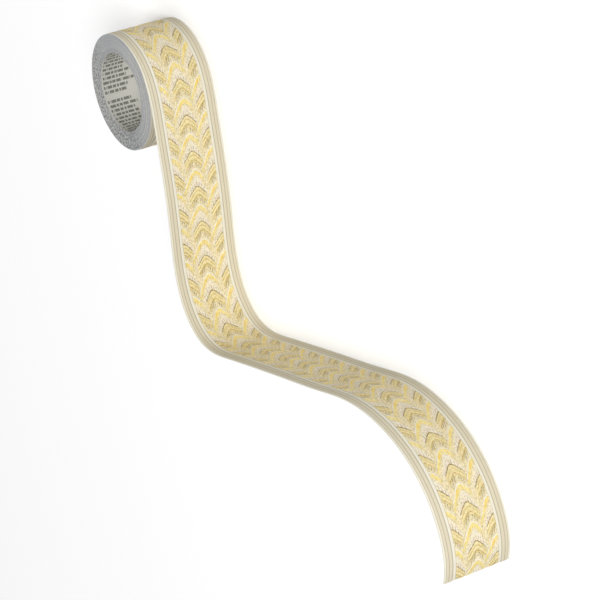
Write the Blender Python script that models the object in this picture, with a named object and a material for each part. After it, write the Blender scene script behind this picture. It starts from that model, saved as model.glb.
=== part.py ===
"""A roll of decorative border strip, lying on its side face, with a pulled-off end beside it.

Metres, +Z up. The strip stands on its lower long edge all the way, so every outline here is
drawn flat on the floor and raised by the strip's width. The roll is at the +X end. The loose
end leaves it on the -Y side, runs towards -X in an S and curls over at its square cut.
The origin is on the floor, under the middle of the whole outline.
"""

import math
from collections import namedtuple

import bpy
import numpy as np

# The strip and its roll
STRIP_WIDTH = 0.050
ROLL_RADIUS = 0.0416
HOLE_RADIUS = 0.0284

# The loose end as a sheet, and its clearance to the turns under it
TAIL_THICKNESS = 0.001
CLEARANCE = 0.0003
LEAVES_ROLL_AT = math.radians(275)
LAP_ON_ROLL = math.radians(100)

# The step inside the hole, where the first turn starts
FIRST_TURN_STEP = 0.001
FIRST_TURN_STARTS_AT = math.radians(200)

# Spacing of the points along an outline
ROLL_POINT_SPACING = 0.002
TAIL_POINT_SPACING = 0.003

# How the loose end bends: how far along it from the roll, in metres, and how many degrees it
# turns there in each metre, plus to its left. It eases from one row to the next.
Bend = namedtuple("Bend", "distance turn_rate")
ROLL_TURN_RATE = -math.degrees(1 / ROLL_RADIUS)
TAIL_BENDS = (
    Bend(0.000, ROLL_TURN_RATE),
    Bend(0.039, 100),
    Bend(0.078, -170),
    Bend(0.116, -60),
    Bend(0.155, 810),
    Bend(0.194, 1800),
    Bend(0.233, -50),
    Bend(0.271, 0),
    Bend(0.310, -30),
    Bend(0.349, 110),
    Bend(0.388, -480),
    Bend(0.427, -510),
    Bend(0.465, -720),
    Bend(0.504, -720),
    Bend(0.543, -1500),
)

CREAM_AND_GOLD = (0.72, 0.60, 0.38, 1.0)
GREY_EDGES = (0.40, 0.40, 0.39, 1.0)


def clear_scene():
    for obj in list(bpy.data.objects):
        bpy.data.objects.remove(obj, do_unlink=True)


def material(name, color, roughness):
    made = bpy.data.materials.new(name)
    made.use_nodes = True
    shader = made.node_tree.nodes["Principled BSDF"]
    shader.inputs["Base Color"].default_value = color
    shader.inputs["Roughness"].default_value = roughness
    shader.inputs["Metallic"].default_value = 0.0
    return made


def arc(start_angle, end_angle, start_radius, end_radius):
    """Points of a spiral about the roll's axis: the radius changes evenly with the angle."""
    length = abs(end_angle - start_angle) * max(start_radius, end_radius)
    share = np.linspace(0, 1, round(length / ROLL_POINT_SPACING) + 1)
    angle = start_angle + (end_angle - start_angle) * share
    radius = start_radius + (end_radius - start_radius) * share
    return np.stack([radius * np.cos(angle), radius * np.sin(angle)], axis=1)


def run_along(bends, start, heading):
    """Points and headings of a run that starts at a point and turns at the rates of its bends."""
    length = bends[-1].distance
    distance = np.linspace(0, length, round(length / TAIL_POINT_SPACING) + 1)
    rows = np.array(bends)
    rate = np.radians(np.interp(distance, rows[:, 0], rows[:, 1]))
    step = distance[1]
    turned = np.concatenate([[0], np.cumsum((rate[1:] + rate[:-1]) / 2 * step)])
    headings = heading + turned
    middle = (headings[1:] + headings[:-1]) / 2
    moves = step * np.stack([np.cos(middle), np.sin(middle)], axis=1)
    points = np.vstack([start, start + np.cumsum(moves, axis=0)])
    return points, headings


def tail_outline():
    """The loose end seen from above: a lap on the roll, then its bends, as a closed band.

    The outer face is drawn first. The inner face lies one thickness to its right.
    """
    lap = arc(LEAVES_ROLL_AT + LAP_ON_ROLL, LEAVES_ROLL_AT, ROLL_RADIUS, ROLL_RADIUS)
    lap_heading = np.linspace(LAP_ON_ROLL, 0, len(lap)) + LEAVES_ROLL_AT - math.pi / 2
    run, run_heading = run_along(TAIL_BENDS, lap[-1], lap_heading[-1])
    outer = np.vstack([lap, run[1:]])
    heading = np.concatenate([lap_heading, run_heading[1:]])
    to_right = np.stack([np.sin(heading), -np.cos(heading)], axis=1)
    inner = outer + TAIL_THICKNESS * to_right
    return np.vstack([outer, inner[::-1]])


def roll_outline():
    """The outer line of the wound turns, with the step that the loose end's lap lies in."""
    radius_under_lap = ROLL_RADIUS - TAIL_THICKNESS - CLEARANCE
    step_at = LEAVES_ROLL_AT + LAP_ON_ROLL + CLEARANCE / ROLL_RADIUS
    under_lap = arc(LEAVES_ROLL_AT, step_at, radius_under_lap, radius_under_lap)
    rest = arc(step_at, LEAVES_ROLL_AT + 2 * math.pi, ROLL_RADIUS, radius_under_lap)
    return np.vstack([under_lap, rest[:-1]])


def hole_outline():
    """The hole's wall: it closes in evenly over a turn, to the end of the first turn."""
    return arc(
        FIRST_TURN_STARTS_AT,
        FIRST_TURN_STARTS_AT + 2 * math.pi,
        HOLE_RADIUS,
        HOLE_RADIUS - FIRST_TURN_STEP,
    )


def raise_outlines(name, outlines, look, collection):
    """A solid of the strip's width that stands on the floor, from closed outlines.

    A second outline that lies inside the first is a hole through it.
    """
    curve = bpy.data.curves.new(name, "CURVE")
    curve.dimensions = "2D"
    curve.fill_mode = "BOTH"
    curve.extrude = STRIP_WIDTH / 2
    for outline in outlines:
        spline = curve.splines.new("POLY")
        spline.points.add(len(outline) - 1)
        rows = np.zeros((len(outline), 4))
        rows[:, :2] = outline
        rows[:, 3] = 1
        spline.points.foreach_set("co", rows.ravel())
        spline.use_cyclic_u = True
    solid = bpy.data.objects.new(name, curve)
    solid.location.z = STRIP_WIDTH / 2
    curve.materials.append(look)
    collection.objects.link(solid)
    return solid


def main():
    clear_scene()
    collection = bpy.data.collections.new("roll_of_trim")
    bpy.context.scene.collection.children.link(collection)

    tail = tail_outline()
    roll = roll_outline()
    everything = np.vstack([tail, roll])
    middle = (everything.min(axis=0) + everything.max(axis=0)) / 2

    edges = material("wound_edges", GREY_EDGES, 0.7)
    face = material("printed_face", CREAM_AND_GOLD, 0.45)
    raise_outlines("wound_roll", [roll - middle, hole_outline() - middle], edges, collection)
    raise_outlines("loose_tail", [tail - middle], face, collection)


main()
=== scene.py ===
"""The finish of a roll of decorative border strip with a pulled-off end, on a pale floor.

The strip is one long band of embossed, printed film on release paper. It is wound on itself
round an open hole, and its end stands beside the roll on its lower edge. Metres, +Z up.
"""

import math
from collections import namedtuple

import bpy
import numpy as np
from bpy.props import FloatProperty, FloatVectorProperty, IntProperty, PointerProperty
from bpy.types import Operator, Panel, PropertyGroup
from mathutils import Matrix, Vector


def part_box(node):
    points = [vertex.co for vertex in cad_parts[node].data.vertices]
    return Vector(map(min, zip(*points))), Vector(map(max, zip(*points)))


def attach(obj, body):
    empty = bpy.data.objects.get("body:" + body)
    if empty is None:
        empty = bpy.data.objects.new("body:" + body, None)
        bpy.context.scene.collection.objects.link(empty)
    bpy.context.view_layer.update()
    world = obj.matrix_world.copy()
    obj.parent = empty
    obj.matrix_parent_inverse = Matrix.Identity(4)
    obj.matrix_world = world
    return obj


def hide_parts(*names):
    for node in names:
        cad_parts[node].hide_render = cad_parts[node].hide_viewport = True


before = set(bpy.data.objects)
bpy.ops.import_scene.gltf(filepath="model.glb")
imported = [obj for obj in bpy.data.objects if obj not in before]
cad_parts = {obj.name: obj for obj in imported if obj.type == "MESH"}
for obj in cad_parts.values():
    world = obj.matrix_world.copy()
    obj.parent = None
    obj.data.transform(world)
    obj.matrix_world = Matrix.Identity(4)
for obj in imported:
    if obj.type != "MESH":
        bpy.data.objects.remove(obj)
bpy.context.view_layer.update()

bl_info = {
    "name": "Border strip roll",
    "version": (1, 0, 0),
    "blender": (4, 5, 0),
    "location": "3D View > Sidebar > Border strip",
    "description": "A roll of printed, embossed border strip with a pulled-off end",
    "category": "Object",
}

# The strip and its roll, in metres, as the frame's solids have them
TAIL_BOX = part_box("loose_tail")
STRIP_WIDTH = TAIL_BOX[1][2] - TAIL_BOX[0][2]
ROLL_RADIUS = 0.0416
HOLE_RADIUS = 0.0284
LEAVES_ROLL_AT = math.radians(275)
FIRST_TURN_STARTS_AT = math.radians(200)

# The winding, as angles wound back from where the strip leaves the roll. Over the whole of it
# the printed face closes in from the roll's radius to the hole's. The outermost piece of the
# strip takes the last turn and a spare lap of the one under it.
WHOLE_TURNS = 20
WOUND_ANGLE = FIRST_TURN_STARTS_AT - LEAVES_ROLL_AT + WHOLE_TURNS * 2 * math.pi
TURN_PITCH = (ROLL_RADIUS - HOLE_RADIUS) / (WOUND_ANGLE / (2 * math.pi))
SPARE_LAP = 0.6
OUTER_ANGLE = 2 * math.pi + SPARE_LAP

# How the loose end bends: metres along it from the roll, degrees turned there in each metre
Bend = namedtuple("Bend", "distance turn_rate")
ROLL_TURN_RATE = -math.degrees(1 / ROLL_RADIUS)
TAIL_BENDS = (
    Bend(0.000, ROLL_TURN_RATE),
    Bend(0.039, 100),
    Bend(0.078, -170),
    Bend(0.116, -60),
    Bend(0.155, 810),
    Bend(0.194, 1800),
    Bend(0.233, -50),
    Bend(0.271, 0),
    Bend(0.310, -30),
    Bend(0.349, 110),
    Bend(0.388, -480),
    Bend(0.427, -510),
    Bend(0.465, -720),
    Bend(0.504, -720),
    Bend(0.543, -1500),
)
TAIL_LENGTH = TAIL_BENDS[-1].distance

# The points that the bends are summed over, and those that the loose end's box is taken from
BEND_SAMPLES = 2001
BOX_SAMPLES = 500

# The printed face, in millimetres, as a maker would chart it. A line's share is how much of its
# colour shows. A curve falls away beside its peak by its slope, and is rounded off at the peak.
Line = namedtuple("Line", "low high share")
Curve = namedtuple("Curve", "slope rounding")
Foot = namedtuple("Foot", "left right top bottom soft")
MM = 0.001
REPEAT = 25.56
HALF_DROP = REPEAT / 2
FIRST_PEAK = -17.4
COLUMN = 16.2

# The border, measured from the strip's edge: where the field starts, the ribs, the levels that
# the mesh keeps, the band that the ribs tint, and the rules
FIELD_EDGE = 8.8
FIELD_STEP = 0.15
RIBS = ((1.6, 3.5), (3.9, 6.1), (6.7, 8.5))
BORDER_LEVELS = (0.0, 1.3, *[level for rib in RIBS for level in rib], FIELD_EDGE)
RIBBED_BAND = (1.4, 6.2)
RULES = (
    Line(1.3, 1.7, 0.5),
    Line(3.5, 3.9, 0.6),
    Line(6.1, 6.7, 0.62),
    Line(8.5, 8.8, 0.3),
)

# An arch, measured below its line, with the lines and stripes in it and the hatching at its feet
ARCH_CURVE = Curve(1.25, 1.8)
ARCH_HALF_WIDTH = 7.0
ARCH_FADE = 0.5
ARCH_DEPTH = 8.6
ARCH_LINE = 0.85
INNER_LINES = (Line(3.0, 3.7, 0.65), Line(6.3, 7.3, 0.95))
PALE_LINES = (Line(1.1, 2.0, 1.0), Line(4.0, 5.0, 1.0))
FIRST_STRIPE = 0.45
STRIPE = 3.2
FEET = (Foot(-4.9, -0.9, 6.9, 11.4, 0.5), Foot(0.9, 4.6, 8.3, 11.2, 0.4))
HATCH = 1.6
HATCH_SLANT = 0.2

# The fan over the next arch, and the lashes that stand on that arch's line
FAN_TOP = 17.4
FAN_FALL = 0.75
FAN_FADE = 0.8
FAN_LINES = 1.5
LASHES = (22.2, 25.5)
LASH_SPACING = 1.7

# The outline, with the leg that runs on towards the upper edge, and what lies below it: the
# crown with its petals, and the deepest petal as a bead
OUTLINE_AT = 12.9
OUTLINE_CURVE = Curve(1.9, 4.0)
OUTLINE_WIDTH = 1.35
LONG_LEG = 10.6
CROWN_TOP = 1.2
CROWN_FOOT = 3.0
PETAL = 1.8
PETAL_DEPTH = 2.5
BEAD_AT = (-3.7, 3.0)
BEAD_RADII = (1.5, 2.2)

# The mounds of the embossing: where they lie, in millimetres, and their shares of its depth
ARCH_MOUND = (0.3, 9.0)
FAN_MOUND = (18.0, REPEAT)
CROWN_MOUND = (-0.2, 5.2)
RIB_SHARE = 0.7
FAN_SHARE = 0.7
CROWN_SHARE = 0.9

# The fine embossing: heights, depths and distances between its grooves, in millimetres, and
# how far the grooves of the feet slant
RIDGE_HEIGHT = 0.42
LINE_DEPTH = 0.26
OUTLINE_HEIGHT = 0.24
CROWN_HEIGHT = 0.14
PETAL_HEIGHT = 0.12
PETAL_GROOVES = 1.3
FAN_HEIGHT = 0.12
FOOT_DEPTH = 0.14
FOOT_GROOVES = 1.2
FOOT_SLANT = 0.6

# How far the print strays along the strip, finely and broadly, how wide the cut shows on the
# film's edge, and how far it takes to fade where the strip leaves the roll, in millimetres
FINE_STRAY = 1.2
BROAD_STRAY = 0.9
CUT_WIDTH = 0.02
CUT_FADE = 4.0

# Bars printed on the release paper, in millimetres. One row in each block is left blank, and
# the third row back from where the strip leaves the roll is one of those. The longest row
# reaches twice as far as the shortest.
PRINT_ROW = 3.5
PRINT_ROWS_A_BLOCK = 25
BLANK_ROW_BACK = 3
PRINT_GAPS = (7.4, 5.3)
BAR_IN_ROW = (0.6, 2.7)
PRINT_START = 1.2
SHORTEST_ROW = 13.0
TICK_SPACING = 1.15

# The side of the roll where the cut edges are uneven, as an angle from +X, and the places where
# that starts and is full, in metres from the roll's axis towards that side
# On that side the cut edges get painted highlights and painted shade as well as bumps
UNEVEN_SIDE = math.radians(105)
UNEVEN_FROM = -0.006
UNEVEN_FULLY = 0.014

# The meshes: the longest steps across the border and the field, in millimetres, and the slack
# that rounding is allowed there, in steps. Then the columns of points on the paper, the angle
# from which an edge is sharp, and the slots of a band's three finishes.
BORDER_SPACING = 0.45
FIELD_SPACING = 0.66
SPACING_SLACK = 1e-6
PAPER_COLUMNS = 4
SHARP_ANGLE = math.radians(50)
FACE_SLOT, BACK_SLOT, EDGE_SLOT = 0, 1, 2

# The uneven upper edges of the turns: the power by which a rise dies away down the strip, the
# seed of the random draws, and how many waves there are in a turn
RISE_POWER = 4
SEED = 7
WAVES_A_TURN = 3

# The picture, with the place of the roll's axis in its pixels, the camera's sensor in
# millimetres, and the nearest distance that the camera sees
PICTURE_SIDE = 600
ROLL_IN_PICTURE = (120.99, 92.70)
SENSOR = 36.0
NEAREST_SEEN = 0.05

# The floor and the lights: a broad lamp on the camera's side, a soft sun and a faint sky
FLOOR_HALF = 6.0
LAMP_PLACE = (-0.6, -2.9, 1.9)
LAMP_AIM = (0, 0, 0.02)
LAMP_SIZE = 1.2
LAMP_POWER = 74
SUN_POWER = 2.15
SUN_WIDTH = math.radians(50)
SKY_POWER = 0.12

# The power that turns a screen's value, as a share of full, into light
SCREEN_GAMMA = 2.2

# Sockets of the node that mixes two colours, which have no names of their own
MIX_SHARE, MIX_ONE, MIX_OTHER, MIX_RESULT = 0, 6, 7, 2


def from_screen(red, green, blue):
    """A colour as read off a screen, 0 to 255, as the linear light that a shader takes."""
    return tuple((channel / 255) ** SCREEN_GAMMA for channel in (red, green, blue))


def size_property(name, value, description):
    return FloatProperty(
        name=name, description=description, default=value, unit="LENGTH", precision=5, min=0.0
    )


def colour_property(name, value, description):
    return FloatVectorProperty(
        name=name,
        description=description,
        default=from_screen(*value),
        subtype="COLOR",
        size=3,
        min=0.0,
        max=1.0,
    )


class StripSizes(PropertyGroup):
    thickness: size_property("Thickness", 0.00062, "Film, glue and release paper together")
    row_spacing: size_property("Row spacing", 0.0009, "Distance between points along the strip")
    relief: size_property("Relief", 0.0003, "Height of the embossed arches and ribs")
    edge_unevenness: size_property(
        "Edge unevenness", 0.00012, "How far one turn's edge stands out past another's"
    )
    edge_roughness: size_property(
        "Edge roughness", 0.00007, "How ragged the cut edge of each turn is"
    )
    turn_points: IntProperty(
        name="Points a turn", description="Points round one hidden turn", default=180, min=24
    )


class StripColours(PropertyGroup):
    ivory: colour_property("Ivory", (224, 219, 202), "Margins and bands of the border")
    chalk: colour_property("Chalk", (238, 233, 220), "Outlines over the crowns")
    beige: colour_property("Beige", (210, 201, 178), "Ribs of the border")
    rule: colour_property("Rule", (136, 122, 90), "Thin lines between the ribs")
    ground: colour_property("Ground", (211, 195, 147), "Ground of the middle field")
    straw: colour_property("Straw", (234, 219, 181), "Strokes on the ground")
    yellow: colour_property("Yellow gold", (238, 213, 114), "Scalloped band in each outline")
    amber: colour_property("Amber", (233, 197, 92), "The deepest petal of each band")
    gold: colour_property("Gold", (227, 202, 120), "Bands of the arches")
    pale_gold: colour_property("Pale gold", (241, 228, 178), "Stitches on the gold bands")
    brown: colour_property("Brown", (98, 68, 38), "Line over each arch")
    tan: colour_property("Tan", (138, 104, 58), "Thin lines inside each arch")
    olive: colour_property("Olive", (112, 98, 58), "Hatching at the feet of the arches")
    pearl: colour_property("Pearl", (231, 222, 204), "Fans over the arches")
    mauve: colour_property("Mauve", (166, 146, 120), "Lashes over the arches")
    blush: colour_property("Blush", (236, 206, 178), "Warm patches in the foil")
    sage: colour_property("Sage", (198, 194, 150), "Cool patches in the foil")
    paper: colour_property("Release paper", (215, 213, 205), "Back of the strip")
    print_grey: colour_property("Paper print", (78, 80, 68), "Bars printed on the paper")
    cut_edge: colour_property("Cut edge", (159, 161, 164), "Side faces of the wound turns")
    # Painted highlight and painted shade for the cut edges: the light colour stands in for light
    # caught by the uneven turns, and the dark one for the shade between them. The dark one also
    # gives random dark grain.
    painted_glint: colour_property("Fleck", (194, 195, 191), "Light flecks where the turns are uneven")
    dark_grain_and_painted_shade: colour_property("Pit", (96, 97, 93), "Dark pits where the turns are uneven")


class StageSettings(PropertyGroup):
    lens: FloatProperty(
        name="Lens",
        description="Focal length for a 36 mm sensor",
        default=171.9,
        min=10.0,
        unit="CAMERA",
    )
    distance: size_property("Distance", 1.975, "From the camera to the roll's upper face")
    elevation: FloatProperty(
        name="Elevation",
        description="Camera's height above the horizon",
        default=math.radians(27.32),
        subtype="ANGLE",
    )
    heading: FloatProperty(
        name="Heading",
        description="Camera's turn about the vertical, from looking along +Y",
        default=math.radians(-0.88),
        subtype="ANGLE",
    )
    roll: FloatProperty(
        name="Roll",
        description="Camera's turn about its own line of sight",
        default=math.radians(-108.24),
        subtype="ANGLE",
    )
    floor: colour_property("Floor", (249, 249, 249), "Plain floor under the part")


# Sums that work alike on numpy arrays and on shader sockets

ARRAY_MATHS = {
    "ABSOLUTE": np.abs,
    "FLOOR": np.floor,
    "SQRT": np.sqrt,
    "MINIMUM": np.minimum,
    "MAXIMUM": np.maximum,
}


class Wire:
    """An output socket of a material's nodes. Each sum written on it adds a Math node."""

    def __init__(self, socket):
        self.socket = socket

    def maths(self, operation, *values):
        nodes = self.socket.id_data.nodes
        links = self.socket.id_data.links
        node = nodes.new("ShaderNodeMath")
        node.operation = operation
        for slot, value in zip(node.inputs, values):
            if isinstance(value, Wire):
                links.new(value.socket, slot)
            else:
                slot.default_value = float(value)
        return Wire(node.outputs[0])

    def __add__(self, other):
        return self.maths("ADD", self, other)

    def __radd__(self, other):
        return self.maths("ADD", other, self)

    def __sub__(self, other):
        return self.maths("SUBTRACT", self, other)

    def __rsub__(self, other):
        return self.maths("SUBTRACT", other, self)

    def __mul__(self, other):
        return self.maths("MULTIPLY", self, other)

    def __rmul__(self, other):
        return self.maths("MULTIPLY", other, self)

    def __truediv__(self, other):
        return self.maths("DIVIDE", self, other)

    def __neg__(self):
        return self.maths("MULTIPLY", self, -1)


def worked(operation, *values):
    """One operation, on sockets if any of its values is one, and else on arrays."""
    for value in values:
        if isinstance(value, Wire):
            return value.maths(operation, *values)
    return ARRAY_MATHS[operation](*values)


def size_of(value):
    return worked("ABSOLUTE", value)


def least(one, other):
    return worked("MINIMUM", one, other)


def most(one, other):
    return worked("MAXIMUM", one, other)


def wrapped(value, period):
    """What is left of a value after whole periods are taken off, from 0 to the period."""
    return value - worked("FLOOR", value / period) * period


def rise(value, low, high):
    """0 below low, 1 above high, and a straight ramp between them."""
    return least(most((value - low) / (high - low), 0), 1)


def within(value, low, high, soft):
    """1 between low and high, 0 outside, with ramps of the soft width at both ends."""
    return rise(value, low - soft, low + soft) * (1 - rise(value, high - soft, high + soft))


def hump(value, low, high):
    """A rounded ridge between low and high: four times the share times one less the share."""
    share = rise(value, low, high)
    return 4 * share * (1 - share)


def comb(value, period):
    """A zigzag: 1 on every line that is a period apart, and 0 half-way between them."""
    return size_of(2 * wrapped(value, period) / period - 1)


# The chart of the printed face, in millimetres


def drop(sideways, curve):
    """How far a curve has dropped beside its peak, in millimetres.

    The slope times the root of sideways squared plus rounding squared, less the rounding.
    """
    root = worked("SQRT", sideways * sideways + curve.rounding * curve.rounding)
    return curve.slope * (root - curve.rounding)


class Column:
    """Where a point of the field lies in its column of arches.

    The field has three columns, the outer two cut in half by the borders and moved along by
    half a repeat. reach is how far a column extends towards the upper edge. side is the
    distance from the column's axis, and under and inside are the distances below the
    nearest arch line and the nearest outline, each with its curve's own drop taken off.
    """

    def __init__(self, middle, along, reach):
        number = worked("FLOOR", (middle + reach) / COLUMN)
        self.side = middle - number * COLUMN
        self.aside = size_of(self.side)
        self.shifted = along - FIRST_PEAK - HALF_DROP * size_of(number)
        self.under = wrapped(self.shifted - drop(self.side, ARCH_CURVE), REPEAT)
        outlined = self.shifted - OUTLINE_AT
        self.inside = wrapped(outlined - drop(self.side, OUTLINE_CURVE), REPEAT)


class Chart:
    """The masks of the design, from 0 to 1, at places across and along the strip."""

    def __init__(self, across, along):
        width = STRIP_WIDTH / MM
        self.edge = least(across, width - across)
        self.middle = across - width / 2
        self.below = Column(self.middle, along, COLUMN / 2)
        self.over = Column(self.middle, along, LONG_LEG)
        self.field = rise(self.edge, FIELD_EDGE - FIELD_STEP, FIELD_EDGE)

    def arch_reach(self):
        """1 as far as an arch's legs reach to either side of its peak."""
        return 1 - rise(self.below.aside, ARCH_HALF_WIDTH - ARCH_FADE, ARCH_HALF_WIDTH)

    def arch(self):
        return within(self.below.under, 0.0, ARCH_DEPTH, soft=0.15) * self.arch_reach()

    def arch_line(self):
        return within(self.below.under, 0.0, ARCH_LINE, soft=0.12) * self.arch_reach()

    def lines_under(self, table):
        """Thin lines that follow the arch inside it, from a table of their edges and shares."""
        lines = 0
        for line in table:
            mask = within(self.below.under, line.low, line.high, soft=0.12)
            lines = lines + mask * line.share
        return lines * self.arch_reach()

    def inner_lines(self):
        return self.lines_under(INNER_LINES)

    def pale_lines(self):
        return self.lines_under(PALE_LINES)

    def lashes(self):
        """Short strokes along the strip that stand on the next arch line."""
        strokes = rise(comb(self.below.side, LASH_SPACING), 0.45, 0.7)
        return strokes * within(self.below.under, *LASHES, soft=0.4) * self.arch_reach()

    def feet(self):
        """The two patches where the arch's legs meet the ground."""
        left, right = [
            within(self.below.side, foot.left, foot.right, soft=0.4)
            * within(self.below.under, foot.top, foot.bottom, foot.soft)
            for foot in FEET
        ]
        return most(left, right)

    def fan(self):
        """Pale feathers over the next arch: tall in the middle, and a band along its legs."""
        top = FAN_TOP + FAN_FALL * self.below.aside
        return rise(self.below.under, top, top + FAN_FADE)

    def outline(self):
        return within(self.over.inside, 0.0, OUTLINE_WIDTH, soft=0.2)

    def crown(self):
        """The gold band in each outline, scalloped into petals along its lower side."""
        lobe = hump(wrapped(self.over.side + PETAL / 2, PETAL), 0.0, PETAL)
        foot = CROWN_FOOT + PETAL_DEPTH * lobe
        return within(self.over.inside, CROWN_TOP, foot, soft=0.35)

    def bead(self):
        """The deepest petal of a band, a long drop on its long leg."""
        aside = (self.over.side - BEAD_AT[0]) / BEAD_RADII[0]
        inward = (self.over.inside - BEAD_AT[1]) / BEAD_RADII[1]
        return 1 - rise(aside * aside + inward * inward, 0.6, 1.1)

    def soft_relief(self):
        """The mounds of the embossing, as shares of its depth, wide enough for the mesh."""
        ribs = 0
        for low, high in RIBS:
            ribs = ribs + hump(self.edge, low, high)
        arch = hump(self.below.under, *ARCH_MOUND) * self.arch_reach()
        fan = FAN_SHARE * hump(self.below.under, *FAN_MOUND) * self.arch_reach()
        crown = CROWN_SHARE * hump(self.over.inside, *CROWN_MOUND)
        return RIB_SHARE * ribs + self.field * most(most(arch, fan), crown)

    def fine_relief(self):
        """The lines, grooves and stitches of the embossing, in millimetres."""
        grooves = comb(self.below.under - FIRST_STRIPE, STRIPE)
        ridges = (1 - grooves) * RIDGE_HEIGHT * self.arch()
        line = self.arch_line() * -LINE_DEPTH
        outline = self.outline() * OUTLINE_HEIGHT
        petals = comb(self.over.side, PETAL_GROOVES)
        crown = self.crown() * (CROWN_HEIGHT + PETAL_HEIGHT * petals)
        fan = self.fan() * FAN_HEIGHT * comb(self.below.side, FAN_LINES)
        slanted = self.below.side + FOOT_SLANT * self.below.shifted
        feet = self.feet() * comb(slanted, FOOT_GROOVES) * -FOOT_DEPTH
        return self.field * (ridges + line + outline + crown + fan + feet)


class Finish:
    """A material in the making: its nodes and the shader that they feed."""

    def __init__(self, name):
        self.material = bpy.data.materials.new(name)
        self.material.use_nodes = True
        self.tree = self.material.node_tree
        self.shader = self.tree.nodes["Principled BSDF"]

    def node(self, kind, settings=(), values=(), output=0):
        """A node of any other kind, its settings made first, then its sockets' values or links."""
        made = self.tree.nodes.new(kind)
        for setting, value in dict(settings).items():
            setattr(made, setting, value)
        for slot, value in dict(values).items():
            self.feed(made.inputs[slot], value)
        return Wire(made.outputs[output])

    def feed(self, slot, value):
        if isinstance(value, Wire):
            self.tree.links.new(value.socket, slot)
        elif hasattr(value, "__len__") and len(slot.default_value) > len(value):
            slot.default_value = (*value, 1)
        else:
            slot.default_value = value

    def mixed(self, share, one, other):
        """One colour turning to another as the share goes from 0 to 1."""
        values = {MIX_SHARE: share, MIX_ONE: one, MIX_OTHER: other}
        return self.node("ShaderNodeMix", {"data_type": "RGBA"}, values, MIX_RESULT)

    def layered(self, base, *layers):
        """A base colour with further ones laid over it, each by its share."""
        for share, colour in layers:
            base = self.mixed(share, base, colour)
        return base

    def noise(self, place, scale, detail=2.0, roughness=0.5):
        """Uneven patches, from 0 to 1. A larger scale makes them smaller."""
        values = {"Vector": place, "Scale": scale, "Detail": detail, "Roughness": roughness}
        return self.node("ShaderNodeTexNoise", (), values)

    def streaks(self, across, along, fineness, stretch):
        """Uneven strokes that are fine across and long along, both measured in millimetres."""
        values = {"X": across * fineness, "Y": along * stretch}
        place = self.node("ShaderNodeCombineXYZ", (), values)
        return self.noise(place, scale=1.0, detail=1.0)

    def split(self, place):
        """The first two measures of a place."""
        made = self.tree.nodes.new("ShaderNodeSeparateXYZ")
        self.tree.links.new(place.socket, made.inputs[0])
        return Wire(made.outputs["X"]), Wire(made.outputs["Y"])

    def strip_place(self):
        """The strip's own map: millimetres across it and along it, and the map itself."""
        place = self.node("ShaderNodeUVMap", {"uv_map": "Strip"})
        across, along = self.split(place)
        return across / MM, along / MM, place

    def chance(self, number):
        """A number drawn from 0 to 1 for each whole number."""
        return self.node(
            "ShaderNodeTexWhiteNoise", {"noise_dimensions": "1D"}, {"W": number + 0.5}
        )

    def set(self, **values):
        for slot, value in values.items():
            self.feed(self.shader.inputs[slot.replace("_", " ")], value)

    def bumps(self, height):
        """A normal bumped by a height in millimetres."""
        return self.node("ShaderNodeBump", (), {"Distance": MM, "Height": height})


def printed_border(finish, chart, colours):
    """Ivory margins and bands with beige ribs between them, ruled by thin lines."""
    rules = 0
    for rule in RULES:
        rules = rules + within(chart.edge, rule.low, rule.high, soft=0.1) * rule.share
    ribs = within(chart.edge, *RIBBED_BAND, soft=0.2)
    return finish.layered(colours.ivory, (ribs, colours.beige), (rules, colours.rule))


def printed_field(finish, chart, place, colours):
    """The plaited arches, their outlines, crowns and fans, broken up as foil printing is.

    Each layer is a mask, times how much of it shows, with its colour. The strokes and the grain
    are given back with the field's colour, because the bump takes them too.
    """
    below, over = chart.below, chart.over
    brushed = finish.streaks(below.under, below.side, fineness=1.4, stretch=0.35)
    combed = finish.streaks(below.side, below.shifted, fineness=1.3, stretch=0.4)
    broken = rise(finish.noise(place, scale=480.0), 0.36, 0.5)
    patchy = rise(finish.noise(place, scale=640.0), 0.42, 0.56)
    petals = 1 - rise(comb(over.side + PETAL / 2, PETAL), 0.6, 0.9)
    slanted = below.side + HATCH_SLANT * below.shifted
    hatch = rise(comb(slanted, HATCH) + 0.5 * combed, 0.7, 0.95)
    ground = finish.mixed(rise(combed, 0.44, 0.56), colours.ground, colours.straw)
    arch = finish.mixed(rise(combed, 0.46, 0.58) * 0.7, colours.gold, colours.pale_gold)
    fan = finish.mixed(rise(combed, 0.5, 0.6) * 0.5, colours.pearl, colours.straw)
    crown = finish.mixed(rise(combed, 0.48, 0.58) * 0.6, colours.yellow, colours.pale_gold)
    patches = finish.noise(place, scale=260.0, detail=1.0)
    grain = finish.noise(place, scale=780.0)
    speck = finish.noise(place, scale=1300.0, detail=1.0)
    ragged = 1 - 0.5 * chart.arch()
    field = finish.layered(
        ground,
        (chart.arch() * (0.66 + 0.34 * patchy), arch),
        (chart.pale_lines() * 0.6, colours.pale_gold),
        (chart.feet() * (0.05 + 0.62 * hatch), colours.olive),
        (chart.inner_lines() * (0.34 + 0.4 * patchy), colours.tan),
        (chart.fan(), fan),
        (chart.lashes() * (0.15 + 0.55 * broken), colours.mauve),
        (chart.arch_line() * (0.44 + 0.4 * patchy), colours.brown),
        (rise(patches, 0.5, 0.62) * 0.18, colours.blush),
        (rise(1 - patches, 0.5, 0.62) * 0.2, colours.sage),
        (rise(grain, 0.5, 0.6) * 0.36 * ragged, colours.pale_gold),
        (rise(1 - grain, 0.5, 0.6) * 0.2 * ragged, colours.tan),
        (rise(speck, 0.5, 0.57) * 0.3 * ragged, colours.chalk),
        (rise(1 - speck, 0.52, 0.59) * 0.13 * ragged, colours.rule),
        (chart.crown() * (0.15 + 0.3 * patchy + 0.5 * petals), crown),
        (chart.bead() * (0.2 + 0.5 * patchy), colours.amber),
        (chart.outline() * (0.5 + 0.4 * patchy), colours.chalk),
    )
    return brushed, grain, field


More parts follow.
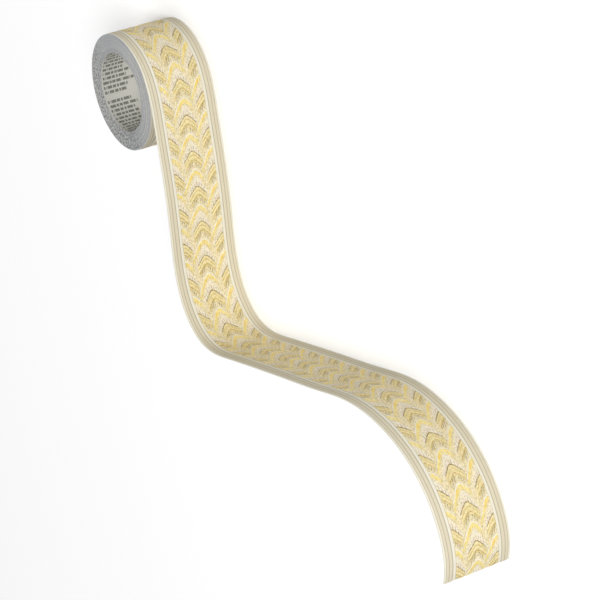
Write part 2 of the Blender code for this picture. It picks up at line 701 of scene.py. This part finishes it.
def printed_face(colours):
    """Cream film printed in golds: ribbed borders, and a field of plaited arches."""
    finish = Finish("gilded film")
    across, along, place = finish.strip_place()
    wander = finish.noise(place, scale=900.0, detail=1.0) - 0.5
    drift = finish.noise(place, scale=260.0, detail=1.0) - 0.5
    chart = Chart(across, along + FINE_STRAY * wander + BROAD_STRAY * drift)
    border = printed_border(finish, chart, colours)
    brushed, grain, field = printed_field(finish, chart, place, colours)
    wound = rise(-along, -CUT_FADE, CUT_FADE)
    cut = (1 - rise(chart.edge, 0.0, CUT_WIDTH)) * (0.25 + 0.75 * wound)
    film = finish.mixed(chart.field, border, field)
    gilt = chart.field * most(chart.crown(), chart.arch())
    height = chart.fine_relief() + 0.05 * (brushed + grain) * chart.field
    finish.set(
        Base_Color=finish.mixed(cut, film, colours.cut_edge),
        Metallic=gilt * 0.12,
        Roughness=0.55 - 0.12 * gilt,
        Specular_IOR_Level=0.02,
        Normal=finish.bumps(height),
    )
    return finish.material


def release_paper(colours):
    """Smooth pale paper printed with rows of plain bars across the strip, ragged at one end.

    A row in every so many is left blank. Each row draws its own length and start.
    """
    finish = Finish("release paper")
    across, along, place = finish.strip_place()
    row = worked("FLOOR", along / PRINT_ROW)
    in_row = within(wrapped(along, PRINT_ROW), *BAR_IN_ROW, soft=0.2)
    filled = rise(wrapped(row + BLANK_ROW_BACK, PRINT_ROWS_A_BLOCK), 0.4, 0.6)
    draw = finish.chance(row)
    gaps = [rise(wrapped(across + pitch * draw, pitch), 0.5, 0.8) for pitch in PRINT_GAPS]
    in_bar = gaps[0] * gaps[1]
    reach = within(across, PRINT_START, SHORTEST_ROW + SHORTEST_ROW * draw, soft=0.1)
    ticks = 0.6 + 0.4 * rise(comb(across + 0.6 * draw, TICK_SPACING), 0.3, 0.6)
    bars = in_row * in_bar * reach * filled * ticks
    mottle = finish.noise(place, scale=500.0, detail=3.0)
    paper = finish.mixed(0.12 * mottle, colours.paper, colours.print_grey)
    finish.set(
        Base_Color=finish.mixed(bars * 0.92, paper, colours.print_grey),
        Roughness=0.5 + 0.1 * mottle,
        Normal=finish.bumps(0.02 * finish.noise(place, scale=1500.0)),
    )
    return finish.material


def cut_edges(colours):
    """The side faces of the wound turns: grey, with light and dark rings along the turns and, on
    the side of the roll where the turns are uneven, light flecks and dark pits. The rings, flecks
    and pits are painted highlight and painted shade.
    """
    finish = Finish("cut edges")
    place = finish.node("ShaderNodeTexCoord", output="Object")
    x, y = finish.split(place)
    middle = roll_centre()
    from_x = x - middle[0]
    from_y = y - middle[1]
    aside = from_x * math.cos(UNEVEN_SIDE) + from_y * math.sin(UNEVEN_SIDE)
    uneven_share = rise(aside, UNEVEN_FROM, UNEVEN_FULLY)
    grain = finish.noise(place, scale=1300.0, detail=1.0)
    outward = worked("SQRT", from_x * from_x + from_y * from_y)
    turns = finish.streaks(outward / MM, x / MM, fineness=1.1, stretch=0.02)
    wound = 1 - 0.5 * uneven_share
    mottle = finish.noise(place, scale=620.0, detail=3.0, roughness=0.75)
    # Painted highlights as light flecks and painted shade as dark pits, mostly on the uneven side
    painted_glints = rise(mottle, 0.51, 0.59) * (0.12 + 0.42 * uneven_share)
    painted_pit_shade = rise(1 - mottle, 0.47, 0.56) * (0.05 + 0.85 * uneven_share)
    finish.set(
        Base_Color=finish.layered(
            colours.cut_edge,
            # Random dark grain, then painted highlight and painted shade: light and dark rings
            # along the turns, light flecks and dark pits
            (rise(grain, 0.38, 0.62) * 0.3, colours.dark_grain_and_painted_shade),
            (rise(turns, 0.45, 0.6) * wound * 0.2, colours.painted_glint),
            (rise(1 - turns, 0.45, 0.6) * wound * 0.18, colours.dark_grain_and_painted_shade),
            (painted_glints, colours.painted_glint),
            (painted_pit_shade, colours.dark_grain_and_painted_shade),
        ),
        Roughness=0.75,
        Normal=finish.bumps(0.2 * mottle * uneven_share + 0.05 * grain),
    )
    return finish.material


# The line that the strip follows


def distance_back(angle):
    """The distance back along the strip from where it leaves the roll, for an angle wound back.

    The radius shrinks by the pitch in each turn, so this is radius times angle, less pitch
    times angle squared over four pi.
    """
    return ROLL_RADIUS * angle - TURN_PITCH * angle**2 / (4 * math.pi)


def spiral_angle(back):
    """The angle for a distance back along the strip: distance_back the other way round.

    Radius less the root of radius squared less pitch times distance over pi, all of that
    times two pi over the pitch.
    """
    root = np.sqrt(ROLL_RADIUS**2 - TURN_PITCH * back / math.pi)
    return (ROLL_RADIUS - root) * 2 * math.pi / TURN_PITCH


def tail_line(along):
    """Points and headings of the loose end at distances from the roll, from its bends."""
    fine = np.linspace(0, TAIL_LENGTH, BEND_SAMPLES)
    bends = np.array(TAIL_BENDS)
    rate = np.radians(np.interp(fine, bends[:, 0], bends[:, 1]))
    step = fine[1]
    turned = np.concatenate([[0], np.cumsum((rate[1:] + rate[:-1]) / 2 * step)])
    heading = LEAVES_ROLL_AT - math.pi / 2 + turned
    middle = (heading[1:] + heading[:-1]) / 2
    x = ROLL_RADIUS * math.cos(LEAVES_ROLL_AT) + np.append(0, np.cumsum(np.cos(middle))) * step
    y = ROLL_RADIUS * math.sin(LEAVES_ROLL_AT) + np.append(0, np.cumsum(np.sin(middle))) * step
    points = np.stack([np.interp(along, fine, x), np.interp(along, fine, y)], axis=1)
    return points, np.interp(along, fine, heading)


def roll_centre():
    """The roll's axis on the floor: the strip's line just fits the frame's box."""
    tail, _ = tail_line(np.linspace(0, TAIL_LENGTH, BOX_SAMPLES))
    low, high = TAIL_BOX
    return np.array([high[0] - ROLL_RADIUS, low[1] - tail[:, 1].min()])


def strip_line(along):
    """Points and outward normals of the strip's printed face, seen from above.

    Behind the point where it leaves the roll it is a spiral, and past it the loose end.
    """
    angle = spiral_angle(np.maximum(-along, 0))
    radius = ROLL_RADIUS - TURN_PITCH * angle / (2 * math.pi)
    around = LEAVES_ROLL_AT + angle
    wound = radius[:, None] * np.stack([np.cos(around), np.sin(around)], axis=1)
    loose, heading = tail_line(np.maximum(along, 0))
    off = (along > 0)[:, None]
    points = np.where(off, loose, wound) + roll_centre()
    loose_normal = np.stack([-np.sin(heading), np.cos(heading)], axis=1)
    wound_normal = np.stack([np.cos(around), np.sin(around)], axis=1)
    return points, np.where(off, loose_normal, wound_normal)


def steps_between(levels, spacing):
    """Places that include each level, with even steps no longer than the spacing between."""
    places = [np.array([levels[0]])]
    for low, high in zip(levels[:-1], levels[1:]):
        count = math.ceil((high - low) / spacing - SPACING_SLACK)
        places.append(np.linspace(low, high, count + 1)[1:])
    return np.concatenate(places)


def band_mesh(name, rings, across, along, looks, ring_looks):
    """A closed band: rings[i, j] is point j of the cross-section at place i along it.

    Each ring runs down the printed face and back up the paper. Neighbouring rings are joined
    by quads and the first and last are closed by one face each. across and along are the
    strip's own map for every point of the rings, in metres.
    """
    rows, columns = rings.shape[:2]
    index = np.arange(rows * columns).reshape(rows, columns)
    here, below = index[:-1], index[1:]
    quads = np.stack(
        [here, below, np.roll(below, -1, axis=1), np.roll(here, -1, axis=1)], axis=-1
    )
    corners = np.concatenate([quads.reshape(-1), index[0], index[-1][::-1]])
    quad_count = (rows - 1) * columns
    starts = np.append(np.arange(quad_count) * 4, [quad_count * 4, quad_count * 4 + columns])
    mesh = bpy.data.meshes.new(name)
    mesh.vertices.add(rows * columns)
    mesh.vertices.foreach_set("co", rings.reshape(-1).astype(np.float32))
    mesh.loops.add(len(corners))
    mesh.loops.foreach_set("vertex_index", corners.astype(np.int32))
    mesh.polygons.add(len(starts))
    mesh.polygons.foreach_set("loop_start", starts.astype(np.int32))
    for look in looks:
        mesh.materials.append(look)
    slots = np.append(np.tile(ring_looks, rows - 1), [EDGE_SLOT, EDGE_SLOT])
    mesh.polygons.foreach_set("material_index", slots.astype(np.int32))
    flat = mesh.uv_layers.new(name="Strip")
    places = np.stack([across.reshape(-1), along.reshape(-1)], axis=1)
    flat.data.foreach_set("uv", places[corners].reshape(-1).astype(np.float32))
    mesh.update(calc_edges=True)
    mesh.validate()
    mesh.shade_smooth()
    mesh.set_sharp_from_angle(angle=SHARP_ANGLE)
    piece = bpy.data.objects.new(name, mesh)
    bpy.context.scene.collection.objects.link(piece)
    return piece


def strip_band(name, along, face_places, thickness, raised, edge_rise, looks):
    """A length of the strip as a closed band.

    face_places are the metres from the upper edge of the columns on the printed face, and
    raised is how far each of its points stands out. edge_rise lifts the upper edge of each
    place along the strip.
    """
    line, normal = strip_line(along)
    back_places = np.linspace(STRIP_WIDTH, 0, PAPER_COLUMNS)
    places = np.concatenate([face_places, back_places])
    out = np.zeros((len(along), len(places)))
    out[:, : len(face_places)] = raised
    out[:, len(face_places) :] = -thickness
    rings = np.zeros((len(along), len(places), 3))
    rings[:, :, :2] = line[:, None] + out[:, :, None] * normal[:, None]
    rings[:, :, 2] = STRIP_WIDTH - places
    rings[:, :, 2] += edge_rise[:, None] * (1 - places / STRIP_WIDTH) ** RISE_POWER
    across = np.broadcast_to(places, out.shape)
    lengthwise = np.broadcast_to(along[:, None], out.shape)
    ring_looks = np.full(len(places), BACK_SLOT)
    ring_looks[: len(face_places) - 1] = FACE_SLOT
    ring_looks[[len(face_places) - 1, -1]] = EDGE_SLOT
    return band_mesh(name, rings, across, lengthwise, looks, ring_looks)


def strip_looks(colours):
    """The strip's three finishes, made once and shared by its pieces."""
    makers = {
        "gilded film": printed_face,
        "release paper": release_paper,
        "cut edges": cut_edges,
    }
    return [bpy.data.materials.get(name) or make(colours) for name, make in makers.items()]


class BORDER_OT_loose_strip(Operator):
    """Make the strip's outermost turn and its loose end, with the embossed face"""

    bl_idname = "border.loose_strip"
    bl_label = "Outer turn and loose end"

    def execute(self, context):
        sizes = context.scene.border_sizes
        back = distance_back(OUTER_ANGLE)
        count = round((back + TAIL_LENGTH) / sizes.row_spacing)
        along = np.linspace(-back, TAIL_LENGTH, count + 1)
        levels = steps_between(BORDER_LEVELS, BORDER_SPACING)
        width = STRIP_WIDTH / MM
        field = steps_between((FIELD_EDGE, width - FIELD_EDGE), FIELD_SPACING)[1:-1]
        places = np.concatenate([levels, field, width - levels[::-1]])
        film, paper, _ = strip_looks(context.scene.border_colours)
        chart = Chart(places[None, :], along[:, None] / MM)
        raised = sizes.relief * chart.soft_relief()
        piece = strip_band(
            "border_strip",
            along,
            places * MM,
            sizes.thickness,
            raised,
            np.zeros(len(along)),
            [film, paper, film],
        )
        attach(piece, "root")
        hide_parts("loose_tail")
        return {"FINISHED"}


class BORDER_OT_wound_turns(Operator):
    """Make the turns under the outermost one, wound to the hole, with uneven upper edges"""

    bl_idname = "border.wound_turns"
    bl_label = "Wound turns"

    def execute(self, context):
        sizes = context.scene.border_sizes
        turns = (WOUND_ANGLE - OUTER_ANGLE) / (2 * math.pi)
        angle = np.linspace(WOUND_ANGLE, OUTER_ANGLE, round(turns * sizes.turn_points) + 1)
        along = -distance_back(angle)
        draw = np.random.default_rng(SEED)
        waves = draw.uniform(-1, 1, round(turns * WAVES_A_TURN) + 2)
        knots = np.linspace(OUTER_ANGLE, WOUND_ANGLE, len(waves))
        edge_rise = sizes.edge_unevenness * np.interp(angle, knots, waves)
        edge_rise += sizes.edge_roughness * draw.uniform(-1, 1, len(angle))
        places = np.array([0, STRIP_WIDTH])
        piece = strip_band(
            "wound_turns",
            along,
            places,
            sizes.thickness,
            np.zeros((len(along), 2)),
            edge_rise,
            strip_looks(context.scene.border_colours),
        )
        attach(piece, "root")
        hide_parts("wound_roll")
        along[-1] - along[0]
        return {"FINISHED"}


def camera_axes(stage):
    """The camera's right, up and forward in the world, from its heading, elevation and roll."""
    forward = Vector(
        (
            math.sin(stage.heading) * math.cos(stage.elevation),
            math.cos(stage.heading) * math.cos(stage.elevation),
            -math.sin(stage.elevation),
        )
    )
    level = Vector((math.cos(stage.heading), -math.sin(stage.heading), 0))
    upright = level.cross(forward)
    right = level * math.cos(stage.roll) + upright * math.sin(stage.roll)
    up = upright * math.cos(stage.roll) - level * math.sin(stage.roll)
    return right, up, forward


def area_light(name, place, aim, size, power):
    """A round lamp that points from its place at its aim."""
    data = bpy.data.lights.new(name, "AREA")
    data.shape = "DISK"
    data.size = size
    data.energy = power
    lamp = bpy.data.objects.new(name, data)
    lamp.location = place
    lamp.rotation_euler = (Vector(aim) - Vector(place)).to_track_quat("-Z", "Y").to_euler()
    bpy.context.scene.collection.objects.link(lamp)


class BORDER_OT_stage(Operator):
    """Make the camera, the soft lights and the plain floor"""

    bl_idname = "border.stage"
    bl_label = "Stage"

    def execute(self, context):
        scene = context.scene
        stage = scene.border_stage
        self.add_camera(scene, stage)
        self.add_floor(stage)
        self.add_lights(scene)
        scene.view_settings.view_transform = "Standard"
        return {"FINISHED"}

    def add_camera(self, scene, stage):
        right, up, forward = camera_axes(stage)
        focal_pixels = stage.lens / SENSOR * PICTURE_SIDE
        aside = (ROLL_IN_PICTURE[0] - PICTURE_SIDE / 2) / focal_pixels * stage.distance
        down = (ROLL_IN_PICTURE[1] - PICTURE_SIDE / 2) / focal_pixels * stage.distance
        target = Vector((*roll_centre(), STRIP_WIDTH))
        place = target - right * aside + up * down - forward * stage.distance
        data = bpy.data.cameras.new("camera")
        data.lens = stage.lens
        data.sensor_width = SENSOR
        data.clip_start = NEAREST_SEEN
        camera = bpy.data.objects.new("camera", data)
        turn = Matrix((right, up, -forward)).transposed()
        camera.matrix_world = Matrix.Translation(place) @ turn.to_4x4()
        scene.collection.objects.link(camera)
        scene.camera = camera

    def add_floor(self, stage):
        finish = Finish("floor")
        place = finish.node("ShaderNodeTexCoord", output="Object")
        finish.set(
            Base_Color=tuple(stage.floor),
            Roughness=0.85 + 0.05 * finish.noise(place, scale=30.0),
        )
        mesh = bpy.data.meshes.new("floor")
        sides = ((-1, -1), (1, -1), (1, 1), (-1, 1))
        corners = [(x * FLOOR_HALF, y * FLOOR_HALF, 0) for x, y in sides]
        mesh.from_pydata(corners, [], [(0, 1, 2, 3)])
        mesh.materials.append(finish.material)
        floor = bpy.data.objects.new("floor", mesh)
        bpy.context.scene.collection.objects.link(floor)

    def add_lights(self, scene):
        world = bpy.data.worlds.new("studio")
        world.use_nodes = True
        sky = world.node_tree.nodes["Background"]
        sky.inputs["Color"].default_value = (1, 1, 1, 1)
        sky.inputs["Strength"].default_value = SKY_POWER
        scene.world = world
        area_light("key", LAMP_PLACE, LAMP_AIM, LAMP_SIZE, LAMP_POWER)
        sun = bpy.data.lights.new("overhead", "SUN")
        sun.energy = SUN_POWER
        sun.angle = SUN_WIDTH
        lamp = bpy.data.objects.new("overhead", sun)
        scene.collection.objects.link(lamp)


class BORDER_PT_panel(Panel):
    bl_label = "Border strip"
    bl_idname = "BORDER_PT_panel"
    bl_space_type = "VIEW_3D"
    bl_region_type = "UI"
    bl_category = "Border strip"

    def draw(self, context):
        scene = context.scene
        for group in (scene.border_sizes, scene.border_colours, scene.border_stage):
            box = self.layout.box()
            for name in group.__annotations__:
                box.prop(group, name)
        for operator in PIECES:
            self.layout.operator(operator.bl_idname)


PIECES = (BORDER_OT_stage, BORDER_OT_wound_turns, BORDER_OT_loose_strip)
CLASSES = (StripSizes, StripColours, StageSettings, *PIECES, BORDER_PT_panel)


def register():
    for made in CLASSES:
        bpy.utils.register_class(made)
    bpy.types.Scene.border_sizes = PointerProperty(type=StripSizes)
    bpy.types.Scene.border_colours = PointerProperty(type=StripColours)
    bpy.types.Scene.border_stage = PointerProperty(type=StageSettings)


def unregister():
    del bpy.types.Scene.border_stage
    del bpy.types.Scene.border_colours
    del bpy.types.Scene.border_sizes
    for made in reversed(CLASSES):
        bpy.utils.unregister_class(made)


def main():
    register()
    bpy.ops.border.stage()
    bpy.ops.border.wound_turns()
    bpy.ops.border.loose_strip()


if __name__ == "__main__":
    main()
